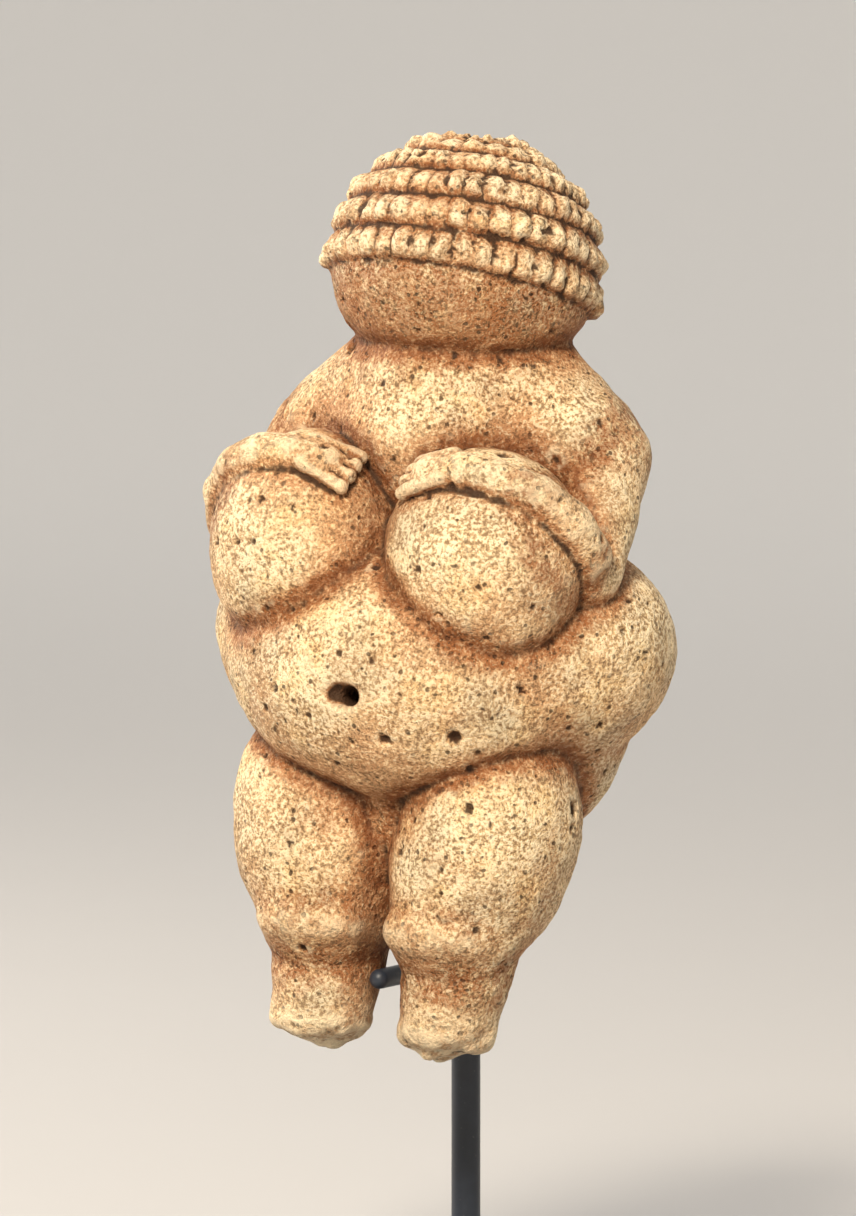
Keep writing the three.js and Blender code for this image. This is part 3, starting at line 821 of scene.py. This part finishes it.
# Colours of the stone, its grains and its stains, which also paint its shade and highlights
PALE = (0.97, 0.81, 0.55)
CREAM = (0.8, 0.62, 0.37)
SAND = (0.6, 0.42, 0.22)
PEACH = (0.54, 0.26, 0.115)
YELLOW = (0.68, 0.42, 0.15)
GREY = (0.36, 0.29, 0.18)
WARM_GRAIN = (0.88, 0.6, 0.34)
GOLD_GRAIN = (0.93, 0.68, 0.34)
GREY_GRAIN = (0.66, 0.56, 0.39)
BROWN = (0.2, 0.11, 0.05)
UMBER = (0.045, 0.022, 0.011)
RUST_AND_SHADE = (0.16, 0.052, 0.018)
OCHRE = (0.31, 0.11, 0.035)

# Sizes of the stone's patterns, in millimetres
WARM_PATCHES = 16
GREY_PATCHES = 9
CLOUDS = 6
PIT_PATCHES = 3
GRAIN_CLUSTERS = 2.6
MOTTLES = 1.7
CRUMBS = 1.3
GRAIN_PITS = 1.3
GRAIN_PIT_SHIFT = 0.8
GRAINS = 0.47
DUST = 0.26
GRAIN_RELIEF = 0.5
STONE_GLOSS = 0.22


class Limestone(Shader):
    """Pale limestone of round grains with brown pits between them, ochre in its creases, and painted shade
    and highlights.
    """

    def __init__(self):
        super().__init__("limestone")
        self.sheltered_shade_and_stain = self.mask("shelter_shade_and_stain")
        self.clouds = self.noise(CLOUDS, detail=3, roughness=0.6)
        self.dust = self.noise(DUST, detail=1)
        self.fine = self.noise(GRAINS, detail=2.5, roughness=0.6)
        clusters = self.math("SUBTRACT", self.noise(GRAIN_CLUSTERS), 0.5)
        self.grains = self.math("MULTIPLY_ADD", clusters, 0.3, self.fine)
        crumbs = self.noise(CRUMBS, detail=3, roughness=0.6)
        self.crumbs = self.scaled(crumbs, between=(0.38, 0.6), to=(0.45, 1.1))
        patchy = self.times(self.crumbs, self.scaled(self.clouds, between=(0.3, 0.65), to=(0.8, 1.2)))
        # Ochre in the creases, with painted shade under the cap, below the knees and between the beads
        self.stain_and_shade = self.times(self.mask("crease_ochre_and_shade"), patchy)
        pitted = self.scaled(self.noise(PIT_PATCHES), between=(0.42, 0.58))
        cells = self.cells(GRAIN_PITS, GRAIN_PIT_SHIFT)
        self.pits = self.times(self.scaled(cells, between=(0.25, 0.14)), pitted)

    def grained(self):
        """The colour of the stone: sandy, with pale grains and dark gaps, and ochre and painted shade in its
        creases and sheltered places.
        """
        patches = self.noise(WARM_PATCHES, detail=3, roughness=0.6)
        # A peach stain in patches, and painted shade where the forms close in and on undersides
        warm_stain_and_shade = self.scaled(self.math("MULTIPLY_ADD", patches, 1.5, self.sheltered_shade_and_stain), between=(0.55, 1.3))
        golden = self.scaled(self.clouds, between=(0.5, 0.64), to=(0, 0.5))
        greyed = self.scaled(self.noise(GREY_PATCHES, detail=3), between=(0.48, 0.64), to=(0, 0.6))
        base = self.mix(SAND, CREAM, self.scaled(self.clouds, between=(0.4, 0.6)))
        base = self.mix(base, YELLOW, golden)
        base = self.mix(base, GREY, greyed)
        base = self.mix(base, PEACH, self.times(warm_stain_and_shade, 0.85))
        base = self.mix(base, OCHRE, self.scaled(self.stain_and_shade, between=(0.12, 0.9), to=(0, 0.9)))

        grain = self.mix(PALE, WARM_GRAIN, warm_stain_and_shade)
        grain = self.mix(grain, GOLD_GRAIN, self.times(golden, 0.8))
        grain = self.mix(grain, GREY_GRAIN, self.times(greyed, 0.9))
        lit = self.scaled(self.math("MULTIPLY_ADD", warm_stain_and_shade, -0.08, self.grains), between=(0.462, 0.545))
        # Where the ochre and painted shade lie, fewer pale grains show and the gaps between grains are
        # darker
        clean_of_stain_and_shade = self.scaled(self.stain_and_shade, between=(0.1, 0.8), to=(1, 0.25))
        base = self.mix(base, grain, self.times(self.times(lit, clean_of_stain_and_shade), 0.95))
        between_grains = self.scaled(self.grains, between=(0.45, 0.36), to=(0, 0.8))
        return self.mix(base, self.mix(BROWN, UMBER, self.stain_and_shade), between_grains)

    def dusted(self, base):
        """The colour with fine pale and brown dust, and pits between the grains."""
        base = self.mix(base, CREAM, self.scaled(self.dust, between=(0.6, 0.72), to=(0, 0.5)))
        base = self.mix(base, BROWN, self.scaled(self.dust, between=(0.4, 0.3), to=(0, 0.7)))
        return self.mix(base, UMBER, self.times(self.pits, 0.85))

    def worn_and_shaded(self, base):
        """The colour with rust and painted shade in sheltered places, painted shade in seams and hollows,
        painted highlights on crests and crowns, and pale edges and leg ends.
        """
        # Painted shade: rust-brown darkening where the forms close in and on undersides
        in_shelter_shade = self.scaled(self.sheltered_shade_and_stain, between=(0.2, 1), to=(0, 0.6))
        base = self.mix(base, RUST_AND_SHADE, self.times(in_shelter_shade, self.crumbs))
        mottles = self.scaled(self.noise(MOTTLES, detail=3, roughness=0.6), between=(0.42, 0.56))
        pale_grit = self.times(mottles, self.scaled(self.grains, between=(0.4, 0.5), to=(0.25, 1)))
        # Painted highlight: the crests of the beads paler, broken by grit
        crest_highlight = self.scaled(self.mask("crest_highlight"), between=(0.3, 0.85), to=(0, 0.85))
        base = self.mix(base, PALE, self.times(crest_highlight, pale_grit))
        dark_grit = self.times(self.crumbs, self.scaled(self.grains, between=(0.6, 0.42), to=(0.3, 1.1)))
        # Painted shade with a rust stain along the seams' cores and between the rows of beads
        core = self.scaled(self.mask("core"), between=(0.3, 1), to=(0, 0.55))
        base = self.mix(base, RUST_AND_SHADE, self.times(core, dark_grit))
        # Painted shade in hollows, pits and the navel
        base = self.mix(base, UMBER, self.scaled(self.mask("hollow_shade"), between=(0.3, 1), to=(0, 0.94)))
        base = self.mix(base, PALE, self.scaled(self.mask("edge"), between=(0.35, 1), to=(0, 0.4)))
        # Painted highlight: the broad crowns of the forms a little paler
        base = self.mix(base, CREAM, self.scaled(self.mask("crown_highlight"), between=(0.25, 1), to=(0, 0.1)))
        bare = self.scaled(mottles, between=(0, 1), to=(0.15, 0.85))
        return self.mix(base, PALE, self.times(self.mask("worn_end"), bare))

    def complete(self):
        """The finished material."""
        raised = self.math("ADD", self.fine, self.times(self.dust, 0.3))
        raised = self.math("SUBTRACT", raised, self.times(self.pits, 0.6))
        self.put(self.surface.inputs["Specular IOR Level"], STONE_GLOSS)
        roughness = self.scaled(self.clouds, between=(0.3, 0.7), to=(0.6, 0.85))
        colour = self.worn_and_shaded(self.dusted(self.grained()))
        return self.finish(colour, roughness, self.bump(raised, GRAIN_RELIEF, strength=0.8))


# Colours of the paint, and the roughness of its shiniest and dullest places
ROD_PAINT = dict(colour=(0.016, 0.021, 0.032), lift=(0.03, 0.038, 0.055), patch_size=8, gloss=(0.32, 0.5))
FOOT_PAINT = dict(colour=(0.012, 0.013, 0.016), lift=(0.024, 0.026, 0.031), patch_size=20, gloss=(0.6, 0.75))
PAINT_DUST = (0.16, 0.15, 0.14)
DUST_PER_PATCH = 12
PAINT_GRAIN = 0.8
PAINT_RELIEF = 0.04


def painted_steel(name, colour, lift, patch_size, gloss):
    """Paint on steel, lighter in patches, with a little dust and wear."""
    paint = Shader(name)
    patches = paint.noise(patch_size, detail=4, roughness=0.6)
    dust = paint.noise(patch_size / DUST_PER_PATCH)
    tint = paint.mix(colour, lift, paint.scaled(patches, between=(0.35, 0.7)))
    tint = paint.mix(tint, PAINT_DUST, paint.scaled(dust, between=(0.68, 0.8), to=(0, 0.35)))
    roughness = paint.scaled(patches, between=(0.3, 0.7), to=gloss)
    return paint.finish(tint, roughness, paint.bump(paint.noise(PAINT_GRAIN), PAINT_RELIEF, strength=0.5))


figure_piece = carved_figure()
figure_piece.data.materials.append(Limestone().complete())
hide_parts("figurine")

rod_piece = brazed_rod()
rod_piece.data.materials.append(painted_steel("rod_steel", **ROD_PAINT))
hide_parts("mount_rod")

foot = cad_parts["mount_foot"]
foot.material_slots[0].material = painted_steel("foot_steel", **FOOT_PAINT)
rounding = foot.modifiers.new("rounded edges", "BEVEL")
rounding.width = FOOT_ROUNDING * MM
rounding.segments = FOOT_ROUNDING_STEPS
rounding.angle_limit = math.radians(FOOT_EDGE_ANGLE)
rounding.harden_normals = True


# The studio: a pale floor that curves up all round. Its sizes are in metres.
FLOOR_RADIUS = 1.7
WALL_CURVE = 0.9
WALL_HEIGHT = 2.4
FLOOR_SIDES = 96
CURVE_RINGS = 24
NEAR_FLOOR = (0.55, 0.54, 0.53)
FAR_FLOOR = (0.95, 0.94, 0.92)
FLOOR_FADE = (0.2, 2)
FLOOR_ROUGHNESS = 0.9


def studio_bowl():
    """A round pale floor that rises softly into a wall."""
    profile = [(FLOOR_RADIUS / 2, 0)]
    for ring in range(CURVE_RINGS + 1):
        angle = math.pi / 2 * ring / CURVE_RINGS
        profile.append((FLOOR_RADIUS + WALL_CURVE * math.sin(angle), WALL_CURVE * (1 - math.cos(angle))))
    profile.append((FLOOR_RADIUS + WALL_CURVE, WALL_HEIGHT))
    angles = [2 * math.pi * side / FLOOR_SIDES for side in range(FLOOR_SIDES)]
    vertices = [(radius * math.cos(angle), radius * math.sin(angle), height)
                for radius, height in profile for angle in angles]
    faces = [tuple(range(FLOOR_SIDES))]
    for ring in range(len(profile) - 1):
        inner, outer = ring * FLOOR_SIDES, (ring + 1) * FLOOR_SIDES
        for side in range(FLOOR_SIDES):
            along = (side + 1) % FLOOR_SIDES
            faces.append((inner + side, outer + side, outer + along, inner + along))
    mesh = bpy.data.meshes.new("studio_floor")
    mesh.from_pydata(vertices, [], faces)
    mesh.polygons.foreach_set("use_smooth", np.ones(len(faces), bool))
    floor = bpy.data.objects.new("studio_floor", mesh)
    bpy.context.scene.collection.objects.link(floor)
    paint = Shader("pale_floor")
    away = paint.vector("LENGTH", paint.place, output="Value")
    # Painted light: the floor grows paler further out, making up for the lamps, which light the near floor
    # more
    tone = paint.mix(NEAR_FLOOR, FAR_FLOOR, paint.scaled(away, between=FLOOR_FADE))
    mesh.materials.append(paint.finish(tone, FLOOR_ROUGHNESS))


studio_bowl()


# The photograph's view: azimuth and elevation in degrees, the rest in millimetres
VIEW_AZIMUTH = 28
VIEW_ELEVATION = 4
VIEW_DISTANCE = 1000
FRAME_HEIGHT = 143.9
MIDDLE_RIGHT = 4.2
MIDDLE_UP = 53.1
SENSOR_SIZE = 36

azimuth, elevation = math.radians(VIEW_AZIMUTH), math.radians(VIEW_ELEVATION)
level_to_camera = Vector((math.sin(azimuth), -math.cos(azimuth), 0))
to_the_right = Vector((math.cos(azimuth), math.sin(azimuth), 0))
upwards = Vector((0, 0, 1))
toward_camera = level_to_camera * math.cos(elevation) + upwards * math.sin(elevation)
middle = (to_the_right * MIDDLE_RIGHT + upwards * (LEG_ENDS + MIDDLE_UP)) * MM


def aim(thing, place):
    """Puts a lamp or camera at a place and points it at the figure's middle."""
    thing.location = place
    thing.rotation_mode = "QUATERNION"
    thing.rotation_quaternion = (middle - place).to_track_quat("-Z", "Y")


# The sensor's size fits the photograph's longer side, which is its height
camera_data = bpy.data.cameras.new("camera")
camera_data.sensor_fit = "AUTO"
camera_data.sensor_width = SENSOR_SIZE
camera_data.lens = SENSOR_SIZE * VIEW_DISTANCE / FRAME_HEIGHT
camera = bpy.data.objects.new("camera", camera_data)
bpy.context.scene.collection.objects.link(camera)
aim(camera, middle + toward_camera * VIEW_DISTANCE * MM)
bpy.context.scene.camera = camera


# Square soft lamps. The place is given from the figure's middle: to the camera's right, up, and
# towards the camera. Places and sizes are in metres, power in watts, and the beam fans out by degrees.
WARM = (1, 0.88, 0.72)
LAMPS = dict(
    key_light=dict(place=(-0.2, 0.6, 0.8), watts=3.75, size=0.2, colour=WARM, spread=100),
    fill_light=dict(place=(0.7, 0.1, 0.8), watts=0.4, size=0.5, colour=WARM, spread=180),
    rim_light=dict(place=(-0.6, 0.25, -0.35), watts=4, size=0.25, colour=(1, 0.93, 0.84), spread=180),
    room_light=dict(place=(0, 2.3, -0.8), watts=27, size=2.2, colour=(1, 0.97, 0.94), spread=180),
)
ROOM_GLOW = (1, 0.94, 0.87)
ROOM_STRENGTH = 0.13


def lamp(name, place, watts, size, colour, spread):
    """A soft lamp that points at the figure."""
    light = bpy.data.lights.new(name, "AREA")
    light.energy = watts
    light.size = size
    light.color = colour
    light.spread = math.radians(spread)
    holder = bpy.data.objects.new(name, light)
    holder.visible_camera = False
    bpy.context.scene.collection.objects.link(holder)
    right, up, forward = place
    aim(holder, middle + to_the_right * right + upwards * up + level_to_camera * forward)


for lamp_name, settings in LAMPS.items():
    lamp(lamp_name, **settings)

world = bpy.data.worlds.new("studio")
world.use_nodes = True
glow = world.node_tree.nodes["Background"]
glow.inputs["Color"].default_value = (*ROOM_GLOW, 1)
glow.inputs["Strength"].default_value = ROOM_STRENGTH
bpy.context.scene.world = world
bpy.context.scene.view_settings.view_transform = "Standard"
